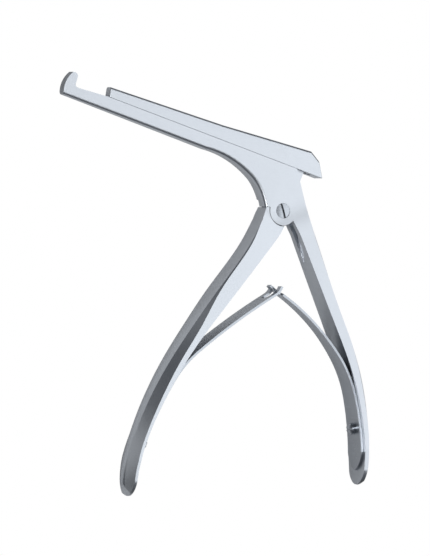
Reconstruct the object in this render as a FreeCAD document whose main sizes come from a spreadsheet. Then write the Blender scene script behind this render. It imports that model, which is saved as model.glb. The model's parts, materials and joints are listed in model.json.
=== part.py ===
import FreeCAD, Part
import Sketcher
import math
import os
from collections import namedtuple

# Bone punch with a footplate, a sliding upper shaft and two sprung handles.
# Every piece is drawn in the shaft's own frame: the pivot is at the origin, -X runs
# along the shaft to the tip, +Y is up from the pivot to the shaft, and Z is across.
# Headings are degrees from straight down (-Y), counted towards +X.

SIZES = {
    # Shaft, body and jaw
    "shaft_rise": 18.8,
    "seam_height": 15.9,
    "shaft_depth": 5.0,
    "body_width": 6.2,
    "shaft_tip_width": 3.1,
    "taper_start": 5.0,
    "body_rear": 0.6,
    "belly_start": 36.0,
    "belly_radius": 38.0,
    "throat_back": 14.4,
    "throat_height": 6.7,
    "throat_radius": 21.0,
    "shoulder_back": 7.3,
    "shoulder_drop": 0.9,
    "nick_height": 2.3,
    "nick_depth": 0.9,
    "nick_reach": 1.9,
    "lobe_radius": 5.3,
    "lobe_start": 198.8,
    "lobe_end": 336.3,
    "rear_back_x": 9.4,
    "rear_back_y": 2.6,
    "rear_back_radius": 62.0,
    "foot_inner": 92.6,
    "foot_depth": 3.9,
    "foot_rise": 3.9,
    "foot_back_radius": 9.0,
    "foot_crown": 1.7,
    "jaw_floor_drop": 0.8,
    "jaw_corner_radius": 1.1,
    "shaft_edge_round": 1.2,
    # Sliding shaft
    "jaw_gap": 13.8,
    "slide_travel": 13.7,
    "seam_clearance": 0.05,
    "slider_front_height": 3.6,
    "slider_front_lean": 0.6,
    "slider_bend_back": 32.0,
    "slider_bend_height": 5.25,
    "slider_rear": 4.3,
    "slider_rear_height": 7.75,
    "slider_tail": 8.1,
    "slider_tail_height": 5.6,
    "slider_end": 11.3,
    "slider_edge_round": 0.9,
    "slider_inset": 0.1,
    "rail_front": 69.0,
    "rail_rear": 52.0,
    "rail_neck_width": 1.0,
    "rail_head_width": 1.8,
    "rail_neck_height": 0.8,
    "rail_head_height": 0.8,
    "rail_clearance": 0.1,
    # Pivot, tongue and drive pin
    "slot_width": 3.0,
    "tongue_thickness": 2.8,
    "tongue_half_width": 3.0,
    "tongue_reach": 6.4,
    "tongue_lean": -4.6,
    "tongue_side_clearance": 0.35,
    "hub_radius": 5.2,
    "hub_clearance": 0.3,
    "pivot_shank_radius": 1.8,
    "pivot_head_radius": 2.7,
    "pivot_head_depth": 0.8,
    "pivot_head_proud": 0.25,
    "pivot_fit": 0.04,
    "driver_slot_width": 0.8,
    "driver_slot_lean": 125.0,
    "driver_slot_depth": 0.6,
    "drive_pin_rise": 2.4,
    "drive_pin_lag": 0.33,
    "drive_pin_radius": 1.0,
    "drive_pin_seat": 0.9,
    "fork_clearance": 0.38,
    "fork_depth": 1.4,
    "pocket_rear": 7.5,
    "pocket_front": 2.6,
    "pocket_rise": 6.85,
    # Slot run-out in the rear handle's root
    "run_out_length": 11.0,
    "run_out_depth": 1.6,
    # Rear handle
    "rear_root_x": 9.05,
    "rear_root_y": -6.0,
    "rear_heading": 41.6,
    "rear_straight": 43.0,
    "rear_radius": 102.0,
    "rear_turn": 28.0,
    "rear_root_swell": 1.65,
    "rear_flare_length": 12.0,
    "rear_root_thickness": 5.4,
    "rear_grip_thickness": 4.2,
    # Front handle
    "front_root_x": 1.25,
    "front_root_y": -8.65,
    "front_heading": -22.65,
    "front_straight": 44.9,
    "front_radius": 151.0,
    "front_turn": 17.2,
    "front_hook_radius": 49.4,
    "front_hook_turn": 25.0,
    "front_root_swell": 1.3,
    "front_flare_length": 6.0,
    "front_root_thickness": 9.1,
    "front_grip_thickness": 5.0,
    "front_shoulder_back": 6.75,
    "front_shoulder_gap": 0.12,
    "lobe_gap": 0.1,
    # Both grips
    "grip_width": 13.3,
    "end_cap_radius": 5.9,
    "end_flank_length": 13.0,
    "end_round_length": 9.0,
    "end_round_radius": 14.0,
    "end_round_start": 3.5,
    "end_edge": 0.8,
    # Leaf springs
    "leaf_thickness": 0.85,
    "leaf_seat_gap": 0.06,
    "leaf_point_length": 6.5,
    "leaf_point_radius": 8.0,
    "rear_leaf_low": 0.9,
    "rear_leaf_leave": 0.36,
    "rear_bend_radius": 42.2,
    "rear_bend_turn": 20.1,
    "rear_reach_radius": 75.0,
    "rear_reach_turn": 26.3,
    "rear_curl_radius": 11.0,
    "rear_curl_turn": 15.0,
    "rear_leaf_width": 10.1,
    "rear_leaf_taper_length": 66.0,
    "rear_leaf_waist_length": 38.5,
    "rear_leaf_waist_width": 7.7,
    "rear_leaf_neck_length": 25.5,
    "rear_leaf_neck_width": 5.7,
    "rear_leaf_tip_width": 4.3,
    "rear_tongue_width": 2.6,
    "rear_tongue_length": 4.8,
    "front_leaf_low": 0.62,
    "front_leaf_leave": 0.51,
    "front_bend_radius": 42.5,
    "front_bend_turn": 20.2,
    "front_reach_radius": 261.0,
    "front_reach_turn": 8.2,
    "front_curl_radius": 5.2,
    "front_curl_turn": 40.0,
    "front_leaf_width": 9.1,
    "fork_gap": 4.0,
    "fork_length": 6.5,
    # Spring screws
    "rear_screw_place": 0.6,
    "front_screw_place": 0.09,
    "spring_shank_radius": 1.1,
    "spring_shank_length": 2.4,
    "spring_head_radius": 2.1,
    "spring_head_wall": 1.4,
    "spring_head_dome": 1.0,
    "spring_slot_width": 0.7,
    "spring_slot_depth": 0.9,
    "spring_hole_fit": 0.05,
}

# One cross-section of a handle: the run of the route that it stands on, how far along
# that run, its share of the swell from root to grip, the share of its thickness that
# is the flat land at each side, and how far its two ridges stand in from the sides.
Station = namedtuple("Station", "run along swell thin land ridge_inset")

REAR_STATIONS = (
    Station(0, 0.00, 0.00, 0.00, 0.985, 0.08),
    Station(0, 0.14, 0.08, 0.17, 0.94, 0.25),
    Station(0, 0.31, 0.17, 0.54, 0.95, 0.25),
    Station(0, 0.60, 0.27, 1.10, 0.96, 0.30),
    Station(1, 0.00, 0.47, 1.12, 0.86, 1.00),
    Station(1, 0.25, 0.65, 1.00, 0.60, 2.20),
    Station(1, 0.50, 0.87, 1.00, 0.45, 3.40),
    Station(1, 0.75, 1.00, 1.17, 0.38, 4.20),
    Station(1, 1.00, 0.97, 1.67, 0.15, 4.60),
)
FRONT_STATIONS = (
    Station(0, 0.00, 0.00, 0.00, 0.985, 0.08),
    Station(0, 0.16, 0.19, 0.39, 0.95, 0.25),
    Station(0, 0.37, 0.31, 0.63, 0.92, 0.35),
    Station(0, 0.70, 0.45, 0.71, 0.84, 0.60),
    Station(1, 0.00, 0.61, 0.84, 0.52, 1.50),
    Station(1, 0.33, 0.76, 0.99, 0.38, 2.50),
    Station(1, 0.67, 0.90, 1.10, 0.30, 3.60),
    Station(2, 0.00, 0.98, 1.30, 0.29, 4.40),
    Station(2, 0.50, 1.00, 1.38, 0.28, 4.90),
    Station(2, 1.00, 0.97, 1.45, 0.13, 5.00),
)

doc = FreeCAD.newDocument("BonePunch")
sizes = doc.addObject("Spreadsheet::Sheet", "Sizes")
worked = doc.addObject("Spreadsheet::Sheet", "Worked")
worked_rows = []


def fill_sizes():
    """Write every driving dimension into the sheet under its own name."""
    for row, (name, value) in enumerate(SIZES.items(), 1):
        sizes.set(f"A{row}", name)
        sizes.set(f"B{row}", str(value))
        sizes.setAlias(f"B{row}", name)
    doc.recompute()


def work(name, formula):
    """Keep a worked value in the second sheet and return the words that read it."""
    worked_rows.append(name)
    row = len(worked_rows)
    worked.set(f"A{row}", name)
    worked.set(f"B{row}", f"={formula}")
    worked.setAlias(f"B{row}", name)
    worked.recompute()
    return f"Worked.{name}"


def value_of(formula):
    """The number that a formula gives now."""
    result = sizes.evalExpression(str(formula))
    return float(getattr(result, "Value", result))


# A corner of an outline. When radius is set, the edge that leaves the corner is an arc,
# with its centre to the left or the right of the way the outline runs.
Corner = namedtuple("Corner", "x y radius centre", defaults=(None, "left"))


def arc_between(start, end, radius, centre):
    """The shorter arc from start to end, and which of its ends is the start."""
    chord = end - start
    half = chord.Length / 2
    rise = math.sqrt(max(radius * radius - half * half, 0.0))
    left = FreeCAD.Vector(-chord.y, chord.x, 0).normalize()
    middle = (start + end) / 2 + left * (rise if centre == "left" else -rise)
    first, last = (start, end) if centre == "left" else (end, start)
    angles = [math.atan2(p.y - middle.y, p.x - middle.x) for p in (first, last)]
    if angles[1] < angles[0]:
        angles[1] += 2 * math.pi
    circle = Part.Circle(middle, FreeCAD.Vector(0, 0, 1), radius)
    return Part.ArcOfCircle(circle, angles[0], angles[1]), centre == "left"


def draw(sketch, corners):
    """Add one closed outline, with every corner and radius tied to its formula."""
    places = [FreeCAD.Vector(value_of(c.x), value_of(c.y), 0) for c in corners]
    ends = []
    for i, corner in enumerate(corners):
        start, end = places[i], places[(i + 1) % len(corners)]
        if corner.radius is None:
            edge, forward = Part.LineSegment(start, end), True
        else:
            edge, forward = arc_between(start, end, value_of(corner.radius), corner.centre)
        index = sketch.addGeometry(edge, False)
        ends.append((index, 1 if forward else 2, 2 if forward else 1))
    for i, corner in enumerate(corners):
        index, first, last = ends[i]
        after, after_first, _ = ends[(i + 1) % len(corners)]
        sketch.addConstraint(Sketcher.Constraint("Coincident", index, last, after, after_first))
        for kind, formula, number in (("DistanceX", corner.x, places[i].x),
                                      ("DistanceY", corner.y, places[i].y)):
            tie = sketch.addConstraint(Sketcher.Constraint(kind, index, first, number))
            sketch.setExpression(f"Constraints[{tie}]", str(formula))
        if corner.radius is not None:
            number = value_of(corner.radius)
            tie = sketch.addConstraint(Sketcher.Constraint("Radius", index, number))
            sketch.setExpression(f"Constraints[{tie}]", str(corner.radius))


def draw_circle(sketch, x, y, radius):
    """Add one full circle tied to its formulas."""
    centre = FreeCAD.Vector(value_of(x), value_of(y), 0)
    circle = Part.Circle(centre, FreeCAD.Vector(0, 0, 1), value_of(radius))
    index = sketch.addGeometry(circle, False)
    for kind, formula, number in (("DistanceX", x, centre.x), ("DistanceY", y, centre.y)):
        tie = sketch.addConstraint(Sketcher.Constraint(kind, index, 3, number))
        sketch.setExpression(f"Constraints[{tie}]", str(formula))
    tie = sketch.addConstraint(Sketcher.Constraint("Radius", index, value_of(radius)))
    sketch.setExpression(f"Constraints[{tie}]", str(radius))


def mirrored(corners):
    """The same outline on the other side of the sketch's first axis."""
    other = {"left": "right", "right": "left"}
    return [Corner(c.x, f"-({c.y})", c.radius, other[c.centre]) for c in corners]


def new_body(name):
    """A named body, turned with the shaft's rise and moved to the part's origin."""
    body = doc.addObject("PartDesign::Body", name)
    body.Label = name
    turn = FreeCAD.Rotation(FreeCAD.Vector(0, 0, 1), -SIZES["shaft_rise"])
    body.Placement = FreeCAD.Placement(FreeCAD.Vector(0, 0, 0), turn)
    body.setExpression("Placement.Rotation.Angle", "-Sizes.shaft_rise")
    return body


def new_sketch(body, name, role, lift="0"):
    """A sketch on one of the body's origin planes, lifted off it by a formula."""
    plane = next(p for p in body.Origin.OriginFeatures if p.Role == role)
    sketch = body.newObject("Sketcher::SketchObject", name)
    sketch.AttachmentSupport = [(plane, "")]
    sketch.MapMode = "FlatFace"
    sketch.setExpression("AttachmentOffset.Base.z", str(lift))
    return sketch


def upright_sketch(body, name, x, y, angle):
    """A sketch on an upright plane: its first axis points at the angle, its second is Z."""
    sketch = new_sketch(body, name, "XZ_Plane", f"-({y})")
    turn = FreeCAD.Rotation(FreeCAD.Vector(0, 1, 0), value_of(angle))
    sketch.AttachmentOffset = FreeCAD.Placement(FreeCAD.Vector(0, 0, 0), turn)
    sketch.setExpression("AttachmentOffset.Base.x", str(x))
    sketch.setExpression("AttachmentOffset.Rotation.Angle", str(angle))
    return sketch


def pad(body, sketch, name, length):
    """Pad a sketch equally to both sides."""
    feature = body.newObject("PartDesign::Pad", name)
    feature.Profile = sketch
    feature.Midplane = True
    feature.setExpression("Length", str(length))
    sketch.Visibility = False
    return feature


def cut_through(body, sketch, name):
    """Cut a sketch through everything, to both sides."""
    feature = body.newObject("PartDesign::Pocket", name)
    feature.Profile = sketch
    feature.Type = "ThroughAll"
    feature.Midplane = True
    return feature


def cut_middle(body, sketch, name, length):
    """Cut a sketch by a set length, shared equally between both sides."""
    feature = body.newObject("PartDesign::Pocket", name)
    feature.Profile = sketch
    feature.Midplane = True
    feature.setExpression("Length", str(length))
    return feature


def turned(body, sketch, name, kind, axis="H_Axis"):
    """Turn a half profile fully about an axis of its sketch, as solid or as cut."""
    feature = body.newObject(f"PartDesign::{kind}", name)
    feature.Profile = sketch
    feature.ReferenceAxis = (sketch, [axis])
    feature.Angle = 360
    return feature


def round_edges(body, name, base, wanted, radius):
    """Round the side edges of a feature whose two ends both pass the test."""
    doc.recompute()
    names = []
    for number, edge in enumerate(base.Shape.Edges, 1):
        ends = [vertex.Point for vertex in edge.Vertexes]
        runs_along = len(ends) == 2 and ends[0].z * ends[1].z > 0
        if runs_along and all(wanted(point) for point in ends):
            names.append(f"Edge{number}")
    feature = body.newObject("PartDesign::Fillet", name)
    feature.Base = (base, names)
    feature.setExpression("Radius", str(radius))
    return feature


class Route:
    """A curve of straight runs and arcs whose corners are worked cells."""

    def __init__(self, name, x, y, heading):
        """Start at a place with a heading."""
        self.name = name
        self.corners = [(work(f"{name}_start_x", x), work(f"{name}_start_y", y),
                         work(f"{name}_start_heading", heading))]
        self.runs = []

    def add(self, run, place):
        """Keep a run and the corner where it ends."""
        index = len(self.runs) + 1
        names = ("x", "y", "heading")
        cells = [work(f"{self.name}_{index}_{n}", f) for n, f in zip(names, place)]
        self.runs.append(run)
        self.corners.append(tuple(cells))
        return self

    def straight(self, length):
        """Go straight on."""
        run = ("straight", length, None)
        return self.add(run, self.place_on(run, self.corners[-1], 1))

    def arc(self, radius, turn, sense):
        """Turn by an angle: sense 1 turns the heading up, -1 turns it down."""
        run = (sense, radius, turn)
        return self.add(run, self.place_on(run, self.corners[-1], 1))

    @staticmethod
    def place_on(run, start, share):
        """Place and heading at a share of a run."""
        kind, size, turn = run
        x, y, heading = start
        if kind == "straight":
            return (f"{x} + {share} * {size} * sin({heading})",
                    f"{y} - {share} * {size} * cos({heading})", heading)
        after = f"({heading} + {kind} * {share} * {turn})"
        return (f"{x} + {kind} * {size} * (cos({heading}) - cos({after}))",
                f"{y} + {kind} * {size} * (sin({heading}) - sin({after}))", after)

    def station(self, name, run, share):
        """Worked place and heading at a share of a run, counted from the route's start."""
        place = self.place_on(self.runs[run], self.corners[run], share)
        names = ("x", "y", "heading")
        return tuple(work(f"{name}_{n}", f) for n, f in zip(names, place))

    def side(self, offset, backwards=False):
        """Corners of the curve that runs beside the route, offset to its left."""
        places = [(f"{x} + ({offset}) * cos({h})", f"{y} + ({offset}) * sin({h})")
                  for x, y, h in self.corners]
        corners = []
        for i, (kind, size, _) in enumerate(self.runs):
            if kind == "straight":
                corners.append((i, None, "left"))
            else:
                corners.append((i, f"{size} - {kind} * ({offset})",
                                "left" if kind == 1 else "right"))
        if not backwards:
            return ([Corner(*places[i], radius, centre) for i, radius, centre in corners]
                    + [Corner(*places[-1])])
        other = {"left": "right", "right": "left"}
        back = [Corner(*places[i + 1], radius, other[centre])
                for i, radius, centre in reversed(corners)]
        return back + [Corner(*places[0])]


def add_handle(body, label, route, stations, out):
    """Loft a handle through its cross-sections and round its end.

    out is 1 where the outer side is on the left of the route's heading, else -1.
    """
    root_width = f"Worked.{label}_root_width"
    root_thickness = f"Sizes.{label}_root_thickness"
    grip_thickness = f"Sizes.{label}_grip_thickness"
    sections = []
    for number, st in enumerate(stations):
        x, y, heading = route.station(f"{label}_section_{number}", st.run, st.along)
        angle = f"{heading}" if out == 1 else f"{heading} + 180"
        sketch = upright_sketch(body, f"{label}_section_{number}", x, y, angle)
        half = f"({root_width} + {st.swell} * (Sizes.grip_width - {root_width})) / 2"
        thick = (f"({root_thickness} + {st.thin} * "
                 f"({grip_thickness} - {root_thickness}))")
        land = f"{st.land} * {thick}"
        ridge = f"({half} - {st.ridge_inset})"
        brow = f"({land} + 0.8 * (1 - {st.land}) * {thick})"
        crown = f"0.2 * (1 - {st.land}) * {thick}"
        arch = f"({ridge} * {ridge} + {crown} * {crown}) / (2 * {crown})"
        draw(sketch, [
            Corner("0", f"-{half}"),
            Corner(land, f"-{half}"),
            Corner(brow, f"-{ridge}", arch, "left"),
            Corner(brow, ridge),
            Corner(land, half),
            Corner("0", half),
        ])
        sections.append(sketch)
    doc.recompute()
    loft = body.newObject("PartDesign::AdditiveLoft", f"{label}_grip")
    loft.Profile = sections[0]
    loft.Sections = sections[1:]
    loft.Ruled = False
    doc.recompute()
    end_x, end_y, end_heading = route.corners[-1]
    trim = upright_sketch(body, f"{label}_end_outline", end_x, end_y, f"{end_heading} - 90")
    radius, reach = "Sizes.end_cap_radius", "Sizes.grip_width"
    flank, side = "-Sizes.end_flank_length", "(Sizes.grip_width / 2 + 0.05)"
    draw(trim, [
        Corner(flank, side),
        Corner(f"-{radius}", radius, radius, "right"),
        Corner("0", "0", radius, "right"),
        Corner(f"-{radius}", f"-{radius}"),
        Corner(flank, f"-{side}"),
        Corner(flank, f"-{reach}"),
        Corner(reach, f"-{reach}"),
        Corner(reach, reach),
        Corner(flank, reach),
    ])
    cut_through(body, trim, f"{label}_rounded_end")
    brow = new_sketch(body, f"{label}_end_brow_outline", "XY_Plane")
    spots = [
        ("-Sizes.end_round_length", "Sizes.end_round_start"),
        ("0.5", "Sizes.end_edge"),
        ("3", "Sizes.end_edge"),
        ("3", "2 * Sizes.end_round_start"),
        ("-Sizes.end_round_length", "2 * Sizes.end_round_start"),
    ]
    corners = [
        Corner(f"{end_x} + ({on}) * sin({end_heading}) + {out} * {off} * cos({end_heading})",
               f"{end_y} - ({on}) * cos({end_heading}) + {out} * {off} * sin({end_heading})")
        for on, off in spots
    ]
    bow = "Sizes.end_round_radius"
    corners[0] = corners[0]._replace(radius=bow, centre="right" if out == 1 else "left")
    draw(brow, corners)
    cut_through(body, brow, f"{label}_end_brow")


def screw_hole(body, name, place, inward):
    """Bore for a spring screw, along the surface normal at a station."""
    x, y, heading = place
    sketch = upright_sketch(body, f"{name}_outline", x, y, f"{heading} + {inward}")
    radius = "Sizes.spring_shank_radius + Sizes.spring_hole_fit"
    depth = "Sizes.spring_shank_length + 2 * Sizes.spring_hole_fit"
    draw(sketch, [
        Corner(f"-({depth})", "0"),
        Corner("2 * Sizes.leaf_thickness", "0"),
        Corner("2 * Sizes.leaf_thickness", radius),
        Corner(f"-({depth})", radius),
    ])
    doc.recompute()
    turned(body, sketch, name, "Groove")


def cut_flare(body, label, route):
    """Bring both sides in from a root's width to the body's, in two matching arcs."""
    x, y, heading = route.corners[0]
    sketch = upright_sketch(body, f"{label}_flare_outline", x, y, f"{heading} - 90")
    length = f"Sizes.{label}_flare_length"
    step = work(f"{label}_flare_step", f"Sizes.{label}_root_swell / 2")
    bow = work(f"{label}_flare_radius",
               f"({length} * {length} + {step} * {step}) / (4 * {step})")
    side = "Sizes.body_width / 2"
    far = "-(Sizes.foot_inner + 2 * Sizes.seam_height)"
    outline = [
        Corner("0", f"{side} + {step}", bow, "left"),
        Corner(f"-{length} / 2", f"{side} + {step} / 2", bow, "right"),
        Corner(f"-{length}", side),
        Corner(far, side),
        Corner(far, "Sizes.grip_width"),
        Corner("0", "Sizes.grip_width"),
    ]
    draw(sketch, outline)
    draw(sketch, mirrored(outline))
    cut_through(body, sketch, f"{label}_flare")


def taper_outline(inset):
    """Plan outline of what is cut off one side of the shaft, from body to tip."""
    wide = f"Sizes.body_width / 2 - ({inset})"
    narrow = f"Sizes.shaft_tip_width / 2 - ({inset})"
    tip = "-(Sizes.foot_inner + Sizes.foot_depth + 1)"
    clear = "Sizes.body_width"
    return [
        Corner("-Sizes.taper_start", wide),
        Corner(tip, narrow),
        Corner(tip, clear),
        Corner("-Sizes.taper_start", clear),
    ]


def make_fixed_frame(rear_route, rear_screw):
    """Footplate, lower shaft, box body and rear handle, forged in one piece."""
    body = new_body("fixed_frame")
    seam = "Sizes.seam_height"
    floor = "(Sizes.seam_height - Sizes.jaw_floor_drop)"
    under = "(Sizes.seam_height - Sizes.shaft_depth)"
    lobe = "Sizes.lobe_radius"
    root_x, root_y, root_heading = rear_route.corners[0]
    foot_back = "-(Sizes.foot_inner + Sizes.foot_depth)"
    foot_top = "(Sizes.seam_height + Sizes.foot_rise)"
    crown = "Sizes.foot_crown"
    side = new_sketch(body, "side_profile", "XY_Plane")
    draw(side, [
        Corner("Sizes.body_rear", seam),
        Corner("-(Sizes.foot_inner - Sizes.jaw_gap)", seam),
        Corner("-(Sizes.foot_inner - 2 * Sizes.jaw_corner_radius)", floor),
        Corner("-(Sizes.foot_inner - Sizes.jaw_corner_radius)", floor,
               "Sizes.jaw_corner_radius", "right"),
        Corner("-Sizes.foot_inner", f"{floor} + Sizes.jaw_corner_radius"),
        Corner("-Sizes.foot_inner", f"{foot_top} - {crown} / 2", f"{crown}", "left"),
        Corner(f"{foot_back} + {crown}", foot_top, "Sizes.foot_back_radius", "left"),
        Corner(f"{foot_back} + {crown} / 3", under),
        Corner("-Sizes.belly_start", under, "Sizes.belly_radius", "right"),
        Corner("-Sizes.throat_back", "Sizes.throat_height", "Sizes.throat_radius", "right"),
        Corner("-Sizes.shoulder_back", "-Sizes.shoulder_drop"),
        Corner(f"{lobe} * cos(Sizes.lobe_start) - 1.45 * sin(Sizes.shaft_rise)",
               f"{lobe} * sin(Sizes.lobe_start) + 1.45 * cos(Sizes.shaft_rise)"),
        Corner(f"{lobe} * cos(Sizes.lobe_start)", f"{lobe} * sin(Sizes.lobe_start)",
               lobe, "left"),
        Corner(f"{lobe} * cos(Sizes.lobe_end)", f"{lobe} * sin(Sizes.lobe_end)"),
        Corner(root_x, root_y),
        Corner(f"{root_x} + Sizes.rear_root_thickness * cos({root_heading})",
               f"{root_y} + Sizes.rear_root_thickness * sin({root_heading})",
               "Sizes.rear_back_radius", "right"),
        Corner("Sizes.rear_back_x", "Sizes.rear_back_y"),
    ])
    pad(body, side, "forging", "Worked.rear_root_width")
    cut_flare(body, "rear", rear_route)
    plan = new_sketch(body, "side_taper", "XZ_Plane")
    draw(plan, taper_outline("0"))
    draw(plan, mirrored(taper_outline("0")))
    tapered = cut_through(body, plan, "tapered_sides")
    low = value_of("Sizes.seam_height - 1.5 * Sizes.jaw_floor_drop")
    round_edges(body, "rounded_underside", tapered,
                lambda p: p.x < -SIZES["throat_back"] + 0.1 and p.y < low,
                "Sizes.shaft_edge_round")
    add_handle(body, "rear", rear_route, REAR_STATIONS, 1)
    cut_tongue_slot(body, rear_route)
    cut_far_nick(body)
    cut_rail_slot(body)
    cut_pivot_seat(body)
    screw_hole(body, "rear_spring_bore", rear_screw, 180)
    doc.recompute()
    return body


def cut_tongue_slot(body, rear_route):
    """Slot between the two cheeks, open at the top, the rear and the lobe."""
    root_x, root_y, root_heading = rear_route.corners[0]
    hub = work("slot_hub_radius", "Sizes.hub_radius + Sizes.hub_clearance")
    edge = work("slot_edge", "Sizes.tongue_half_width + Sizes.tongue_side_clearance")
    up = work("slot_up", f"sqrt({hub} * {hub} - {edge} * {edge})")
    top = work("slot_top", "Worked.tongue_top + 4")
    open_lean = work("slot_rear_lean", "-Sizes.tongue_lean")
    shut_lean = work("slot_front_lean", "-(Sizes.tongue_lean + Worked.handle_swing)")
    run_x = f"{root_x} + Sizes.run_out_length * sin({root_heading})"
    run_y = f"{root_y} - Sizes.run_out_length * cos({root_heading})"
    sketch = new_sketch(body, "tongue_slot_outline", "XY_Plane")
    draw(sketch, [
        Corner(f"{edge} * cos({open_lean}) + {top} * sin({open_lean})",
               f"-{edge} * sin({open_lean}) + {top} * cos({open_lean})"),
        Corner(f"-{edge} * cos({shut_lean}) + {top} * sin({shut_lean})",
               f"{edge} * sin({shut_lean}) + {top} * cos({shut_lean})"),
        Corner(f"-{edge} * cos({shut_lean}) + {up} * sin({shut_lean})",
               f"{edge} * sin({shut_lean}) + {up} * cos({shut_lean})", hub, "left"),
        Corner(f"{hub} * cos(Sizes.lobe_start)", f"{hub} * sin(Sizes.lobe_start)"),
        Corner(f"{hub} * cos(Sizes.lobe_start)", run_y),
        Corner(run_x, run_y),
        Corner(f"{root_x} + Sizes.run_out_depth * cos({root_heading})",
               f"{root_y} + Sizes.run_out_depth * sin({root_heading})"),
        Corner(f"{hub} * cos(0)", "0", hub, "left"),
        Corner(f"{edge} * cos({open_lean}) + {up} * sin({open_lean})",
               f"-{edge} * sin({open_lean}) + {up} * cos({open_lean})"),
    ])
    cut_middle(body, sketch, "tongue_slot", "Sizes.slot_width")


def cut_far_nick(body):
    """Small square nick in the far cheek's edge, just above the shoulder."""
    sketch = new_sketch(body, "far_nick_outline", "XY_Plane", "-Sizes.body_width / 2")
    x, y = "-Sizes.shoulder_back", "-Sizes.shoulder_drop"
    draw(sketch, [
        Corner(f"{x} - Sizes.nick_height", f"{y} - 1"),
        Corner(f"{x} + Sizes.nick_depth", f"{y} - 1"),
        Corner(f"{x} + Sizes.nick_depth", f"{y} + Sizes.nick_height"),
        Corner(f"{x} - Sizes.nick_height", f"{y} + Sizes.nick_height"),
    ])
    cut_middle(body, sketch, "far_nick", "2 * Sizes.nick_reach")


def rail_outline(grow):
    """T-shaped section of the rail, in height and width, grown by a clearance."""
    seam = "Sizes.seam_height"
    neck = f"(Sizes.rail_neck_width / 2 + {grow})"
    head = f"(Sizes.rail_head_width / 2 + {grow})"
    under = f"({seam} - Sizes.rail_neck_height + {grow})"
    low = f"({seam} - Sizes.rail_neck_height - Sizes.rail_head_height - {grow})"
    top = f"{seam} + 1"
    return [
        Corner(low, f"-{head}"),
        Corner(under, f"-{head}"),
        Corner(under, f"-{neck}"),
        Corner(top, f"-{neck}"),
        Corner(top, neck),
        Corner(under, neck),
        Corner(under, head),
        Corner(low, head),
    ]


def cut_rail_slot(body):
    """T-slot along the top of the lower shaft, as long as the rail and its travel."""
    front = "(Sizes.rail_front + Sizes.slide_travel + 0.5)"
    rear = "(Sizes.rail_rear - 0.5)"
    sketch = new_sketch(body, "rail_slot_outline", "YZ_Plane", f"-({front} + {rear}) / 2")
    draw(sketch, rail_outline("Sizes.rail_clearance"))
    cut_middle(body, sketch, "rail_slot", f"{front} - {rear}")


def cut_pivot_seat(body):
    """Bore for the pivot screw through both cheeks and the seat for its head."""
    bore = new_sketch(body, "pivot_bore_outline", "XY_Plane")
    draw_circle(bore, "0", "0", "Sizes.pivot_shank_radius")
    cut_through(body, bore, "pivot_bore")
    seat = new_sketch(body, "pivot_seat_outline", "XY_Plane",
                      "Sizes.body_width / 2")
    draw_circle(seat, "0", "0", "Sizes.pivot_head_radius + Sizes.pivot_fit")
    cut_middle(body, seat, "pivot_seat", "2 * Sizes.pivot_head_depth")


def tongue_outline(front_route):
    """Middle layer of the front handle: arm, hub and neck in one outline."""
    lean = work("tongue_lean_back", "-Sizes.tongue_lean")
    half, top, hub = "Sizes.tongue_half_width", "Worked.tongue_top", "Sizes.hub_radius"
    up = work("tongue_up", f"sqrt({hub} * {hub} - {half} * {half})")
    root_x, root_y, root_heading = front_route.corners[0]
    crown = "1.2"
    return [
        Corner(f"{half} * cos({lean}) + ({top} - {crown}) * sin({lean})",
               f"-{half} * sin({lean}) + ({top} - {crown}) * cos({lean})", crown, "left"),
        Corner(f"({half} - {crown}) * cos({lean}) + {top} * sin({lean})",
               f"-({half} - {crown}) * sin({lean}) + {top} * cos({lean})"),
        Corner(f"-({half} - {crown}) * cos({lean}) + {top} * sin({lean})",
               f"({half} - {crown}) * sin({lean}) + {top} * cos({lean})", crown, "left"),
        Corner(f"-{half} * cos({lean}) + ({top} - {crown}) * sin({lean})",
               f"{half} * sin({lean}) + ({top} - {crown}) * cos({lean})"),
        Corner(f"-{half} * cos({lean}) + {up} * sin({lean})",
               f"{half} * sin({lean}) + {up} * cos({lean})", hub, "left"),
        Corner(f"{hub} * cos(190)", f"{hub} * sin(190)"),
        Corner(f"{root_x} - Sizes.front_root_thickness * cos({root_heading})",
               f"{root_y} - Sizes.front_root_thickness * sin({root_heading})"),
        Corner(root_x, root_y),
        Corner(f"{hub} * cos(295.8)", f"{hub} * sin(295.8)", hub, "left"),
        Corner(f"{hub}", "0", hub, "left"),
        Corner(f"{half} * cos({lean}) + {up} * sin({lean})",
               f"-{half} * sin({lean}) + {up} * cos({lean})"),
    ]


def head_outline(front_route):
    """Full-thickness part of the front handle, hollowed round the cheeks' lobe."""
    root_x, root_y, root_heading = front_route.corners[0]
    hollow = "(Sizes.lobe_radius + Sizes.lobe_gap)"
    rise = work("head_rise", "1.45 - Sizes.front_shoulder_gap")
    start = "Sizes.lobe_start"
    return [
        Corner(f"{hollow} * cos({start}) - {rise} * sin(Sizes.shaft_rise)",
               f"{hollow} * sin({start}) + {rise} * cos(Sizes.shaft_rise)"),
        Corner("-Sizes.front_shoulder_back", "-Sizes.shoulder_drop"),
        Corner(f"{root_x} - Sizes.front_root_thickness * cos({root_heading})",
               f"{root_y} - Sizes.front_root_thickness * sin({root_heading})"),
        Corner(root_x, root_y),
        Corner(f"{hollow} * cos(294)", f"{hollow} * sin(294)", hollow, "right"),
        Corner(f"{hollow} * cos({start})", f"{hollow} * sin({start})"),
    ]


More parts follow.
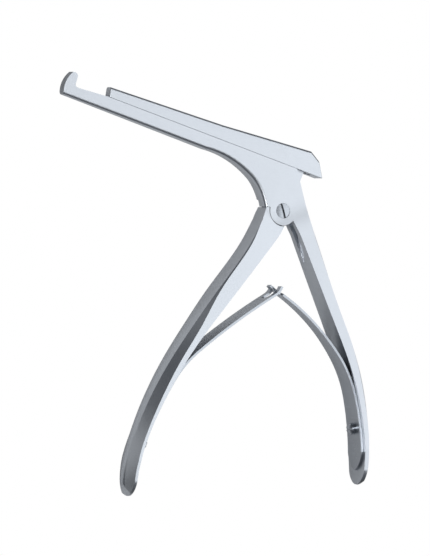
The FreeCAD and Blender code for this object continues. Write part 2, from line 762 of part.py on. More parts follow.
def make_front_handle(front_route, front_screw):
    """Moving handle with its hub and the tongue that drives the sliding shaft."""
    body = new_body("front_handle")
    tongue = new_sketch(body, "tongue_profile", "XY_Plane")
    draw(tongue, tongue_outline(front_route))
    pad(body, tongue, "tongue", "Sizes.tongue_thickness")
    head = new_sketch(body, "head_profile", "XY_Plane")
    draw(head, head_outline(front_route))
    pad(body, head, "head", "Worked.front_root_width")
    cut_flare(body, "front", front_route)
    add_handle(body, "front", front_route, FRONT_STATIONS, -1)
    bore = new_sketch(body, "hub_bore_outline", "XY_Plane")
    draw_circle(bore, "0", "0", "Sizes.pivot_shank_radius + Sizes.pivot_fit")
    cut_through(body, bore, "hub_bore")
    cut_fork(body)
    screw_hole(body, "front_spring_bore", front_screw, 0)
    doc.recompute()
    return body


def cut_fork(body):
    """Open slot in the tongue's end that takes the drive pin."""
    lean = "Worked.tongue_lean_back"
    half = work("fork_half", "Sizes.drive_pin_radius + Sizes.fork_clearance")
    low, top = "(Worked.drive_pin_height - Sizes.fork_depth)", "(Worked.tongue_top + 2)"
    sketch = new_sketch(body, "fork_outline", "XY_Plane")
    draw(sketch, [
        Corner(f"{half} * cos({lean}) + {low} * sin({lean})",
               f"-{half} * sin({lean}) + {low} * cos({lean})"),
        Corner(f"{half} * cos({lean}) + {top} * sin({lean})",
               f"-{half} * sin({lean}) + {top} * cos({lean})"),
        Corner(f"-{half} * cos({lean}) + {top} * sin({lean})",
               f"{half} * sin({lean}) + {top} * cos({lean})"),
        Corner(f"-{half} * cos({lean}) + {low} * sin({lean})",
               f"{half} * sin({lean}) + {low} * cos({lean})"),
    ])
    cut_through(body, sketch, "fork")


def make_sliding_shaft():
    """Upper shaft with its cutting end, rail, tongue pocket and pin bore."""
    body = new_body("sliding_shaft")
    base = work("slider_base", "Sizes.seam_height + Sizes.seam_clearance")
    front = work("slider_front", "-(Sizes.foot_inner - Sizes.jaw_gap)")
    side = new_sketch(body, "side_profile", "XY_Plane")
    draw(side, [
        Corner("Sizes.slider_end", base),
        Corner("Sizes.slider_tail", f"{base} + Sizes.slider_tail_height"),
        Corner("Sizes.slider_rear", f"{base} + Sizes.slider_rear_height"),
        Corner("-Sizes.slider_bend_back", f"{base} + Sizes.slider_bend_height"),
        Corner(front, f"{base} + Sizes.slider_front_height"),
        Corner(f"{front} + Sizes.slider_front_lean", base),
    ])
    pad(body, side, "bar", "Sizes.body_width - 2 * Sizes.slider_inset")
    plan = new_sketch(body, "side_taper", "XZ_Plane")
    draw(plan, taper_outline("Sizes.slider_inset"))
    draw(plan, mirrored(taper_outline("Sizes.slider_inset")))
    tapered = cut_through(body, plan, "tapered_sides")
    high = value_of(f"{base} + 0.8 * Sizes.slider_front_height")
    round_edges(body, "rounded_top", tapered, lambda p: p.y > high,
                "Sizes.slider_edge_round")
    rail = new_sketch(body, "rail_outline", "YZ_Plane",
                      "-(Sizes.rail_front + Sizes.rail_rear) / 2")
    draw(rail, rail_outline("0"))
    pad(body, rail, "rail", "Sizes.rail_front - Sizes.rail_rear")
    pocket = new_sketch(body, "tongue_pocket_outline", "XY_Plane")
    draw(pocket, [
        Corner("Sizes.pocket_rear", "Sizes.seam_height - 1"),
        Corner("Sizes.pocket_rear", "Worked.pocket_height - 3.4", "3.4", "left"),
        Corner("Sizes.pocket_rear - 3.4", "Worked.pocket_height"),
        Corner("-Sizes.pocket_front", "Worked.pocket_height"),
        Corner("-Sizes.pocket_front", "Sizes.seam_height - 1"),
    ])
    cut_middle(body, pocket, "tongue_pocket", "Sizes.slot_width")
    deep, open_end = "(Worked.pin_near + 0.02)", "(Worked.pin_far + 1)"
    bore = new_sketch(body, "pin_bore_outline", "XY_Plane", f"({deep} - {open_end}) / 2")
    draw_circle(bore, "Worked.drive_pin_x", "Worked.drive_pin_height",
                "Sizes.drive_pin_radius + 0.01")
    cut_middle(body, bore, "pin_bore", f"{deep} + {open_end}")
    doc.recompute()
    return body


def make_drive_pin():
    """Round pin from the sliding shaft's far side, ground flush there and hidden here."""
    body = new_body("drive_pin")
    outline = new_sketch(body, "pin_outline", "XY_Plane",
                         "(Worked.pin_near - Worked.pin_far) / 2")
    draw_circle(outline, "Worked.drive_pin_x", "Worked.drive_pin_height",
                "Sizes.drive_pin_radius")
    pad(body, outline, "pin", "Worked.pin_near + Worked.pin_far")
    return body


def driver_slot(body, name, sketch, radius):
    """Straight screwdriver slot across a head, cut to both sides of its sketch."""
    reach, half = f"({radius} + 1)", "(Sizes.driver_slot_width / 2)"
    lean = "Sizes.driver_slot_lean"
    draw(sketch, [
        Corner(f"{reach} * {i} * cos({lean}) - {half} * {j} * sin({lean})",
               f"{reach} * {i} * sin({lean}) + {half} * {j} * cos({lean})")
        for i, j in ((1, 1), (-1, 1), (-1, -1), (1, -1))
    ])
    doc.recompute()
    cut_middle(body, sketch, name, "2 * Sizes.driver_slot_depth")


def make_pivot_screw():
    """Slotted screw through the cheeks and the hub, its end flush with the far cheek."""
    body = new_body("pivot_screw")
    profile = new_sketch(body, "screw_profile", "YZ_Plane")
    shank, head = "(Sizes.pivot_shank_radius - 0.01)", "Sizes.pivot_head_radius"
    seat = work("pivot_seat_height", "Sizes.body_width / 2 - Sizes.pivot_head_depth + 0.01")
    face = work("pivot_face_height", "Sizes.body_width / 2 + Sizes.pivot_head_proud")
    draw(profile, [
        Corner("0", "-Sizes.body_width / 2"),
        Corner(shank, "-Sizes.body_width / 2"),
        Corner(shank, seat),
        Corner(head, seat),
        Corner(head, f"{face} - 0.25", "16", "left"),
        Corner("0", face),
    ])
    doc.recompute()
    turned(body, profile, "screw", "Revolution", "V_Axis")
    slot = new_sketch(body, "driver_slot_outline", "XY_Plane", face)
    driver_slot(body, "driver_slot", slot, head)
    return body


def leaf_route(name, handle, low_run, low_share, leave_share, bends, sense):
    """The face of a leaf that lies on its handle, from its low end up to its tip.

    The last of the bends is the tip's curl and turns the other way.
    """
    x, y, heading = handle.station(f"{name}_low", low_run, low_share)
    gap = "Sizes.leaf_seat_gap"
    route = Route(name, f"{x} - {sense} * {gap} * cos({heading})",
                  f"{y} - {sense} * {gap} * sin({heading})", f"{heading} + 180")
    share = low_share
    for run in range(low_run, 0, -1):
        _, radius, turn = handle.runs[run]
        until = leave_share if run == 1 else "0"
        route.arc(f"({radius} - {gap})", f"(({share}) - ({until})) * {turn}", sense)
        share = "1"
    for radius, turn in bends[:-1]:
        route.arc(radius, turn, sense)
    route.arc(*bends[-1], -sense)
    return route


def leaf_blank(body, route, width, sense):
    """Bent strip of even thickness and width."""
    sketch = new_sketch(body, "leaf_profile", "XY_Plane")
    inner = f"{sense} * Sizes.leaf_thickness"
    draw(sketch, route.side("0") + route.side(inner, backwards=True))
    pad(body, sketch, "strip", width)


def leaf_point(body, route, width):
    """Bring the low end of a leaf to a rounded point."""
    x, y, heading = route.corners[0]
    sketch = upright_sketch(body, "point_outline", x, y, f"{heading} + 90")
    back, half = "-Sizes.leaf_point_length", f"({width}) / 2"
    bow, reach = "Sizes.leaf_point_radius", "Sizes.grip_width"
    draw(sketch, [
        Corner(back, half, bow, "right"),
        Corner("0", "0", bow, "right"),
        Corner(back, f"-{half}"),
        Corner(back, f"-{reach}"),
        Corner(reach, f"-{reach}"),
        Corner(reach, reach),
        Corner(back, reach),
    ])
    cut_through(body, sketch, "point")


def leaf_bore(body, place, inward):
    """Clearance hole for the spring screw."""
    x, y, heading = place
    sketch = upright_sketch(body, "bore_outline", x, y, f"{heading} + {inward}")
    radius = "Sizes.spring_shank_radius + Sizes.spring_hole_fit"
    draw(sketch, [
        Corner("-1", "0"),
        Corner("3 * Sizes.leaf_thickness", "0"),
        Corner("3 * Sizes.leaf_thickness", radius),
        Corner("-1", radius),
    ])
    doc.recompute()
    turned(body, sketch, "bore", "Groove")


def make_rear_leaf(handle, screw_place):
    """Leaf on the rear handle, narrowed to a tongue at its tip."""
    body = new_body("rear_leaf_spring")
    route = leaf_route("rear_leaf", handle, 1, "Sizes.rear_leaf_low",
                       "Sizes.rear_leaf_leave",
                       (("Sizes.rear_bend_radius", "Sizes.rear_bend_turn"),
                        ("Sizes.rear_reach_radius", "Sizes.rear_reach_turn"),
                        ("Sizes.rear_curl_radius", "Sizes.rear_curl_turn")), 1)
    leaf_blank(body, route, "Sizes.rear_leaf_width", 1)
    leaf_point(body, route, "Sizes.rear_leaf_width")
    x, y, _ = route.corners[-1]
    lean = f"{route.corners[-2][2]} - 90 - Sizes.rear_reach_turn / 2"
    sketch = upright_sketch(body, "taper_outline", x, y, lean)
    side = [
        Corner("2", "Sizes.rear_tongue_width / 2"),
        Corner("2", "Sizes.grip_width"),
        Corner("-Sizes.rear_leaf_taper_length", "Sizes.grip_width"),
        Corner("-Sizes.rear_leaf_taper_length", "Sizes.rear_leaf_width / 2"),
        Corner("-Sizes.rear_leaf_waist_length", "Sizes.rear_leaf_waist_width / 2"),
        Corner("-Sizes.rear_leaf_neck_length", "Sizes.rear_leaf_neck_width / 2"),
        Corner("-(Sizes.rear_tongue_length + 0.8)", "Sizes.rear_leaf_tip_width / 2"),
        Corner("-Sizes.rear_tongue_length", "Sizes.rear_tongue_width / 2"),
    ]
    draw(sketch, side)
    draw(sketch, mirrored(side))
    cut_through(body, sketch, "taper")
    leaf_bore(body, screw_place, 180)
    return body


def make_front_leaf(handle, screw_place):
    """Leaf on the front handle, forked at its tip to straddle the other one."""
    body = new_body("front_leaf_spring")
    route = leaf_route("front_leaf", handle, 2, "Sizes.front_leaf_low",
                       "Sizes.front_leaf_leave",
                       (("Sizes.front_bend_radius", "Sizes.front_bend_turn"),
                        ("Sizes.front_reach_radius", "Sizes.front_reach_turn"),
                        ("Sizes.front_curl_radius", "Sizes.front_curl_turn")), -1)
    leaf_blank(body, route, "Sizes.front_leaf_width", -1)
    leaf_point(body, route, "Sizes.front_leaf_width")
    x, y, _ = route.corners[-1]
    sketch = upright_sketch(body, "fork_outline", x, y, f"{route.corners[-2][2]} - 90")
    half, neck = "Sizes.fork_gap / 2", "-(Sizes.fork_length - Sizes.fork_gap / 2)"
    draw(sketch, [
        Corner("2", half),
        Corner(neck, half, half, "left"),
        Corner("-Sizes.fork_length", "0", half, "left"),
        Corner(neck, f"-{half}"),
        Corner("2", f"-{half}"),
    ])
    cut_through(body, sketch, "fork")
    leaf_bore(body, screw_place, 0)
    return body


def make_spring_screw(name, place, inward):
    """Domed slotted screw that clamps a leaf to its handle."""
    body = new_body(name)
    x, y, heading = place
    angle = f"({heading} + {inward})"
    profile = upright_sketch(body, "screw_profile", x, y, angle)
    shank, head = "Sizes.spring_shank_radius", "Sizes.spring_head_radius"
    seat = work(f"{name}_seat", "Sizes.leaf_seat_gap + Sizes.leaf_thickness + 0.06")
    wall = work(f"{name}_wall", f"{seat} + Sizes.spring_head_wall")
    rise = "Sizes.spring_head_dome"
    top = work(f"{name}_top", f"{wall} + {rise}")
    dome = f"({head} * {head} + {rise} * {rise}) / (2 * {rise})"
    draw(profile, [
        Corner("-Sizes.spring_shank_length", "0"),
        Corner("-Sizes.spring_shank_length", shank),
        Corner(seat, shank),
        Corner(seat, head),
        Corner(wall, head, dome, "right"),
        Corner(top, "0"),
    ])
    doc.recompute()
    turned(body, profile, "screw", "Revolution")
    slot = new_sketch(body, "driver_slot_outline", "XY_Plane")
    half, low = "(Sizes.spring_slot_width / 2)", f"({top} - Sizes.spring_slot_depth)"
    draw(slot, [
        Corner(f"{x} + {on} * cos({angle}) - {off} * sin({angle})",
               f"{y} + {on} * sin({angle}) + {off} * cos({angle})")
        for on, off in ((low, half), (low, f"-{half}"),
                        (f"({top} + 1)", f"-{half}"), (f"({top} + 1)", half))
    ])
    cut_through(body, slot, "driver_slot")
    return body


def settle(bodies):
    """Put the origin at the bottom centre of the whole part's bounding box."""
    box = FreeCAD.BoundBox()
    for body in bodies:
        box.add(body.Shape.optimalBoundingBox(False))
    shift = (-(box.XMin + box.XMax) / 2, -(box.YMin + box.YMax) / 2, -box.ZMin)
    for axis, amount in zip("xyz", shift):
        cell = work(f"pivot_{axis}", f"{amount:.6f}")
        for body in bodies:
            body.setExpression(f"Placement.Base.{axis}", cell)
    doc.recompute()


def check_and_export(bodies):
    """Stop on any fault, then write one STEP file for each body."""
    for thing in doc.Objects:
        if "Invalid" in thing.State or "Error" in thing.State:
            raise RuntimeError(f"{thing.Name} did not recompute")
    os.makedirs("parts", exist_ok=True)
    for body in bodies:
        shape = body.Shape
        if shape.isNull() or not shape.isValid() or len(shape.Solids) != 1:
            raise RuntimeError(f"{body.Label} is not one sound solid")
        shape.exportStep(f"parts/{body.Label}.step")


def main():
    """Build every piece of the punch and export it."""
    fill_sizes()
    work("drive_pin_height", "Sizes.seam_height + Sizes.drive_pin_rise")
    work("drive_pin_x",
         "-Worked.drive_pin_height * tan(Sizes.tongue_lean) + Sizes.drive_pin_lag")
    work("pin_near", "Sizes.slot_width / 2 + Sizes.drive_pin_seat")
    work("pin_far", "Sizes.body_width / 2 - Sizes.slider_inset")
    work("tongue_top", "Sizes.seam_height + Sizes.tongue_reach")
    work("rear_root_width", "Sizes.body_width + Sizes.rear_root_swell")
    work("front_root_width", "Sizes.body_width + Sizes.front_root_swell")
    work("pocket_height", "Sizes.seam_height + Sizes.pocket_rise")
    work("handle_swing",
         "atan(Sizes.slide_travel / Worked.drive_pin_height + tan(Sizes.tongue_lean)) / 1 deg"
         " - Sizes.tongue_lean")
    rear = Route("rear_handle", "Sizes.rear_root_x", "Sizes.rear_root_y",
                 "Sizes.rear_heading")
    rear.straight("Sizes.rear_straight")
    rear.arc("Sizes.rear_radius", "Sizes.rear_turn", -1)
    front = Route("front_handle", "Sizes.front_root_x", "Sizes.front_root_y",
                  "Sizes.front_heading")
    front.straight("Sizes.front_straight")
    front.arc("Sizes.front_radius", "Sizes.front_turn", 1)
    front.arc("Sizes.front_hook_radius", "Sizes.front_hook_turn", 1)
    rear_screw = rear.station("rear_screw", 1, "Sizes.rear_screw_place")
    front_screw = front.station("front_screw", 2, "Sizes.front_screw_place")
    bodies = [
        make_fixed_frame(rear, rear_screw),
        make_sliding_shaft(),
        make_front_handle(front, front_screw),
        make_pivot_screw(),
        make_drive_pin(),
        make_rear_leaf(rear, rear_screw),
        make_front_leaf(front, front_screw),
        make_spring_screw("rear_spring_screw", rear_screw, 180),
        make_spring_screw("front_spring_screw", front_screw, 0),
    ]
    doc.recompute()
    settle(bodies)
    check_and_export(bodies)


main()
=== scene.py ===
"""Looks for a footplate bone punch: satin steel body, bevelled grips, hooked leaf springs.

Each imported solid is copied, its edges are broken and it gets its finish. The grips
narrow to rounder tips, and the leaf springs bend between the two handles. A pale
floor, two soft lamps and a parallel camera make up the studio.
"""

from __future__ import annotations

import json
import logging
import math
from abc import ABC, abstractmethod
from dataclasses import dataclass, field
from enum import Enum
from typing import ClassVar

import bpy
from mathutils import Matrix, Vector
from mathutils.bvhtree import BVHTree
from mathutils.geometry import barycentric_transform
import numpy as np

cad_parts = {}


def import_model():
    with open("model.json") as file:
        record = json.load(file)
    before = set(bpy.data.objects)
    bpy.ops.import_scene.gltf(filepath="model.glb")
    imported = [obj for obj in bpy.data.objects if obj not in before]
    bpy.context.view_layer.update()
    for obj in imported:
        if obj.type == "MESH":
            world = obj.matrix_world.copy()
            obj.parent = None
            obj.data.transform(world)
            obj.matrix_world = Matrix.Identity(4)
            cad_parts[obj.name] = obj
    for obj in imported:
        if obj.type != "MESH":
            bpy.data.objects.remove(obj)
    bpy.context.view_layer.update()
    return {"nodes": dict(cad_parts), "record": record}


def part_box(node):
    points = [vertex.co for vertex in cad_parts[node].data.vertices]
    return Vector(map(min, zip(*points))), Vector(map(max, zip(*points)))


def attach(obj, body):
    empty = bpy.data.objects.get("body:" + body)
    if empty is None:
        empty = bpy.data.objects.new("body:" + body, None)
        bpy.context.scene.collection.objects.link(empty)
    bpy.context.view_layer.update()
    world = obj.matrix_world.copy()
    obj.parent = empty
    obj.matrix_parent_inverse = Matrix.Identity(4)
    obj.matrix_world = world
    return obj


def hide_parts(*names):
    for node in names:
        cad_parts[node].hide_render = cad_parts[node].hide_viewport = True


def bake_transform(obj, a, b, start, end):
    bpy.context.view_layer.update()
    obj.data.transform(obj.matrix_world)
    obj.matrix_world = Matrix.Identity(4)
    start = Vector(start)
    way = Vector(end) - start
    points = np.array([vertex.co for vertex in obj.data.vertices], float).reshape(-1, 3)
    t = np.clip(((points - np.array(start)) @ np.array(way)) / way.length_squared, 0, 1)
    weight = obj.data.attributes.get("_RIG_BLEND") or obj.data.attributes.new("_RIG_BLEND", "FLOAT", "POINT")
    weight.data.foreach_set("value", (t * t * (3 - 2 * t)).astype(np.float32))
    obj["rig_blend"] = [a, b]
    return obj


log = logging.getLogger("bone_punch")
MM = 0.001


class Axis(Enum):
    """A fixed direction: across runs along the pivot screw, up runs away from the grips."""

    ACROSS = (0.0, 0.0, 1.0)
    UP = (0.0, 1.0, 0.0)


class Facing(Enum):
    """The side that a grip's inner face looks to, as the sign of X."""

    REAR = 1
    FRONT = -1


class FaceKind(Enum):
    """Material index that tells a solid's own faces from its broken edges."""

    OWN = 0
    BROKEN = 1


class Shader:
    """Adds nodes to one material and wires them."""

    def __init__(self, material: bpy.types.Material) -> None:
        """Clear the material's nodes and keep its tree.

        Args:
            material: The material that is built.
        """
        material.use_nodes = True
        self.tree = material.node_tree
        self.tree.nodes.clear()

    def node(self, kind: str, settings: dict[str, object] | None = None,
             **sockets: object) -> bpy.types.Node:
        """Add one node.

        Args:
            kind: The node's type name.
            settings: Properties that are set first; "stops" fills a colour ramp.
            **sockets: Input values or links, by socket name with _ for a space,
                or by number as in1.

        Returns:
            The new node.
        """
        made = self.tree.nodes.new(kind)
        for name, value in (settings or {}).items():
            if name == "stops":
                self._fill_ramp(made.color_ramp, value)
            else:
                setattr(made, name, value)
        for name, value in sockets.items():
            number = name[2:]
            socket = (made.inputs[int(number)] if name.startswith("in") and number.isdigit()
                      else made.inputs[name.replace("_", " ")])
            if isinstance(value, Value):
                self.tree.links.new(value.socket, socket)
            elif isinstance(value, bpy.types.NodeSocket):
                self.tree.links.new(value, socket)
            else:
                socket.default_value = value
        return made

    @staticmethod
    def _fill_ramp(ramp: bpy.types.ColorRamp, stops: tuple[tuple[float, float], ...]) -> None:
        """Give a colour ramp its stops.

        Args:
            ramp: The ramp.
            stops: Pairs of place and grey, from left to right.
        """
        while len(ramp.elements) > 1:
            ramp.elements.remove(ramp.elements[-1])
        for i, (place, grey) in enumerate(stops):
            stop = ramp.elements[0] if i == 0 else ramp.elements.new(place)
            stop.position = place
            stop.color = (grey, grey, grey, 1.0)

    def value(self, kind: str, output: int | str = 0,
              settings: dict[str, object] | None = None, **sockets: object) -> Value:
        """Add one node and wrap one of its outputs."""
        return Value(self, self.node(kind, settings, **sockets).outputs[output])

    def vector(self, operation: str, first: object, second: object = (0.0, 0.0, 0.0),
               output: int | str = 0) -> Value:
        """Join two vectors with one Vector Math node."""
        return self.value("ShaderNodeVectorMath", output, {"operation": operation},
                          in0=first, in1=second)

    def ranged(self, value: Value, start: float, end: float, low: float = 0.0,
               high: float = 1.0) -> Value:
        """Map a value that runs from start to end onto low to high."""
        return self.value("ShaderNodeMapRange", 0, None, Value=value, From_Min=start,
                          From_Max=end, To_Min=low, To_Max=high)

    def grey(self, tone: Value) -> Value:
        """Make a colour of one value."""
        return self.value("ShaderNodeCombineColor", 0, None, Red=tone, Green=tone, Blue=tone)


@dataclass(frozen=True)
class Value:
    """A socket that takes part in Python arithmetic."""

    shader: Shader
    socket: bpy.types.NodeSocket

    def _math(self, operation: str, first: object, second: object) -> Value:
        """Join two numbers or values with one Math node."""
        return self.shader.value("ShaderNodeMath", 0, {"operation": operation},
                                 in0=first, in1=second)

    def __add__(self, other: object) -> Value:
        """Sum."""
        return self._math("ADD", self, other)

    __radd__ = __add__

    def __mul__(self, other: object) -> Value:
        """Product."""
        return self._math("MULTIPLY", self, other)

    __rmul__ = __mul__

    def __sub__(self, other: object) -> Value:
        """Difference."""
        return self._math("SUBTRACT", self, other)

    def __rsub__(self, other: object) -> Value:
        """Difference from a number."""
        return self._math("SUBTRACT", other, self)

    def __abs__(self) -> Value:
        """Size without its sign."""
        return self.shader.value("ShaderNodeMath", 0, {"operation": "ABSOLUTE"}, in0=self)


@dataclass(frozen=True)
class PaintedJointShade:
    """Painted shade: a dark line painted where the frame's round lobe meets the front handle, for the shadow
    in the slit between them.

    Attributes:
        centre: The pivot, in metres.
        radius: Middle radius of the joint round the lobe, in metres.
        core: Distance from the joint that is still fully dark, in metres.
        half_width: Distance from the joint where the line has faded, in metres.
        heading: Direction from the pivot to the middle of the arc, in degrees.
        half_turn: Half of the angle that the arc covers, in degrees.
        taper: Share of the arc's height over which its ends fade.
        depth: How much of the light the line takes away.
    """

    centre: Vector
    radius: float = 5.35 * MM
    core: float = 0.14 * MM
    half_width: float = 0.28 * MM
    heading: float = 241.0
    half_turn: float = 76.0
    taper: float = 0.05
    depth: float = 0.8

    def factor(self, shader: Shader, place: Value) -> Value:
        """Factor that is low on the painted shade line and one away from it.

        Args:
            shader: The material's nodes.
            place: Object coordinates.

        Returns:
            The factor for the base colour.
        """
        offset = shader.vector("SUBTRACT", place, (self.centre.x, self.centre.y, 0.0))
        flat = shader.vector("MULTIPLY", offset, (1.0, 1.0, 0.0))
        away = abs(shader.vector("LENGTH", flat, output="Value") - self.radius)
        near = shader.ranged(away, self.core, self.half_width, 1.0, 0.0)
        turn = math.radians(self.heading)
        along = shader.vector("DOT_PRODUCT", flat, (math.cos(turn), math.sin(turn), 0.0),
                              "Value")
        limit = self.radius * math.cos(math.radians(self.half_turn))
        inside = shader.ranged(along, limit, (1 + self.taper) * limit)
        # Painted shade: darken the base colour along the joint's lower arc, where the slit is in shadow.
        return 1.0 - near * inside * self.depth


@dataclass(frozen=True)
class SlotShade:
    """The shade inside a screw's driver slot.

    Attributes:
        head_top: Height of the screw's top, in metres.
        foot: Depth under the top where the shade starts, in metres.
        rim: Depth under the top where the shade has faded, in metres.
        stops: Pairs of share of the way from foot to rim, and factor.
    """

    head_top: float
    foot: float = 0.9 * MM
    rim: float = 0.3 * MM
    stops: tuple[tuple[float, float], ...] = ((0.0, 1.0), (0.04, 0.2), (0.75, 0.2),
                                              (1.0, 1.0))

    def factor(self, shader: Shader, place: Value) -> Value:
        """Factor that is low inside the slot and one outside it.

        Args:
            shader: The material's nodes.
            place: Object coordinates.

        Returns:
            The factor for the base colour.
        """
        height = shader.value("ShaderNodeSeparateXYZ", "Z", None, Vector=place)
        share = shader.ranged(height, self.head_top - self.foot, self.head_top - self.rim)
        return shader.value("ShaderNodeValToRGB", 0, {"stops": self.stops}, Fac=share)


@dataclass(frozen=True)
class Noise:
    """A cloudy pattern over the surface.

    Attributes:
        stretch: How finely it repeats along X, Y and Z, per metre.
        detail: Number of finer layers.
        roughness: Weight of the finer layers.
        tone: How much it changes the base colour.
        gloss: How much it changes the roughness.
    """

    stretch: tuple[float, float, float]
    detail: float
    roughness: float
    tone: float
    gloss: float

    def value(self, shader: Shader, place: Value) -> Value:
        """Pattern between about 0 and 1, with a half as its middle."""
        drawn = shader.value("ShaderNodeMapping", 0, None, Vector=place, Scale=self.stretch)
        return shader.value("ShaderNodeTexNoise", 0, None, Vector=drawn, Scale=1.0,
                            Detail=self.detail, Roughness=self.roughness)


@dataclass(frozen=True)
class SatinSteel:
    """Stainless steel with a fine drawn grain.

    Attributes:
        name: The material's name.
        tone: Linear base colour.
        roughness: Middle roughness.
        marks: Places that are darker.
        grain: Fine lines along X.
        cloud: Wide soft patches.
        grain_depth: Strength of the grain's relief.
        grain_height: Height of the grain's relief, in metres.
    """

    name: str
    tone: tuple[float, float, float]
    roughness: float
    # Painted shade: these places have their colour darkened where shade falls, in the lobe's joint and the
    # screw's slot.
    marks: tuple[PaintedJointShade | SlotShade, ...] = ()
    grain: Noise = Noise(stretch=(400.0, 9000.0, 9000.0), detail=3.0, roughness=0.6,
                         tone=0.10, gloss=0.10)
    cloud: Noise = Noise(stretch=(90.0, 90.0, 90.0), detail=4.0, roughness=0.55,
                         tone=0.12, gloss=0.08)
    grain_depth: float = 0.05
    grain_height: float = 0.2 * MM

    def build(self) -> bpy.types.Material:
        """Make the material.

        Returns:
            The finished material.
        """
        material = bpy.data.materials.new(self.name)
        shader = Shader(material)
        place = shader.value("ShaderNodeTexCoord", "Object")
        grain = self.grain.value(shader, place)
        cloud = self.cloud.value(shader, place)
        fade = (grain * self.grain.tone + cloud * self.cloud.tone
                + (1.0 - (self.grain.tone + self.cloud.tone) / 2))
        # Painted shade: each mark darkens the base colour where shade falls, in the lobe's joint or in the
        # screw's slot.
        for mark in self.marks:
            fade = fade * mark.factor(shader, place)
        tint = shader.value("ShaderNodeMix", 2, {"data_type": "RGBA", "blend_type": "MULTIPLY"},
                            in0=1.0, in6=(*self.tone, 1.0), in7=shader.grey(fade))
        rough = (grain * self.grain.gloss + cloud * self.cloud.gloss
                 + (self.roughness - (self.grain.gloss + self.cloud.gloss) / 2))
        relief = shader.value("ShaderNodeBump", 0, None, Height=grain,
                              Strength=self.grain_depth, Distance=self.grain_height)
        surface = shader.node("ShaderNodeBsdfPrincipled", None, Base_Color=tint,
                              Metallic=1.0, Roughness=rough, Normal=relief)
        shader.node("ShaderNodeOutputMaterial", None, Surface=surface.outputs[0])
        return material


@dataclass(frozen=True)
class SteelFinishes:
    """The steel of the instrument, each finish made once.

    Attributes:
        body: Bright satin steel of the frame, the sliding shaft and the front handle, with a line of painted
            shade round the lobe's joint.
        spring: Darker rolled steel of the leaf springs.
        screw: Turned steel of the screws and the pin.
        slotted_screw: Turned steel of the pivot screw, with a shaded driver slot.
    """

    body: bpy.types.Material
    spring: bpy.types.Material
    screw: bpy.types.Material
    slotted_screw: bpy.types.Material

    @classmethod
    def make(cls, pivot: Vector, head_top: float) -> SteelFinishes:
        """Build the finishes.

        Args:
            pivot: The pivot's place, in metres.
            head_top: Height of the pivot screw's top, in metres.

        Returns:
            The finishes.
        """
        turned_tone = (0.5, 0.53, 0.57)
        turned_roughness = 0.28
        return cls(
            # Painted shade: the body steel is darkened in a line round the lobe, for the shadow in its
            # joint.
            body=SatinSteel("satin_body_steel", tone=(0.66, 0.69, 0.73), roughness=0.34,
                            marks=(PaintedJointShade(pivot),)).build(),
            spring=SatinSteel("rolled_spring_steel", tone=(0.52, 0.55, 0.59),
                              roughness=0.3).build(),
            screw=SatinSteel("turned_screw_steel", turned_tone, turned_roughness).build(),
            slotted_screw=SatinSteel("slotted_screw_steel", turned_tone, turned_roughness,
                                     marks=(SlotShade(head_top),)).build(),
        )


@dataclass(frozen=True)
class SoftLamp:
    """One square area lamp aimed at the part.

    Attributes:
        name: The lamp's name.
        place: Where it hangs, in metres.
        size: Side of its square.
        power: Its power in watts.
        colour: Linear light colour.
        aim: The point it looks at, in metres.
    """

    name: str
    place: tuple[float, float, float]
    size: float
    power: float
    colour: tuple[float, float, float] = (1.0, 1.0, 1.0)
    aim: tuple[float, float, float] = (0.0, 0.0, 0.01)

    def hang(self) -> None:
        """Add the lamp to the scene."""
        lamp = bpy.data.lights.new(self.name, "AREA")
        lamp.size = self.size
        lamp.energy = self.power
        lamp.color = self.colour
        thing = bpy.data.objects.new(self.name, lamp)
        thing.location = self.place
        aim = Vector(self.aim) - Vector(self.place)
        thing.rotation_euler = aim.to_track_quat("-Z", "Y").to_euler()
        bpy.context.scene.collection.objects.link(thing)


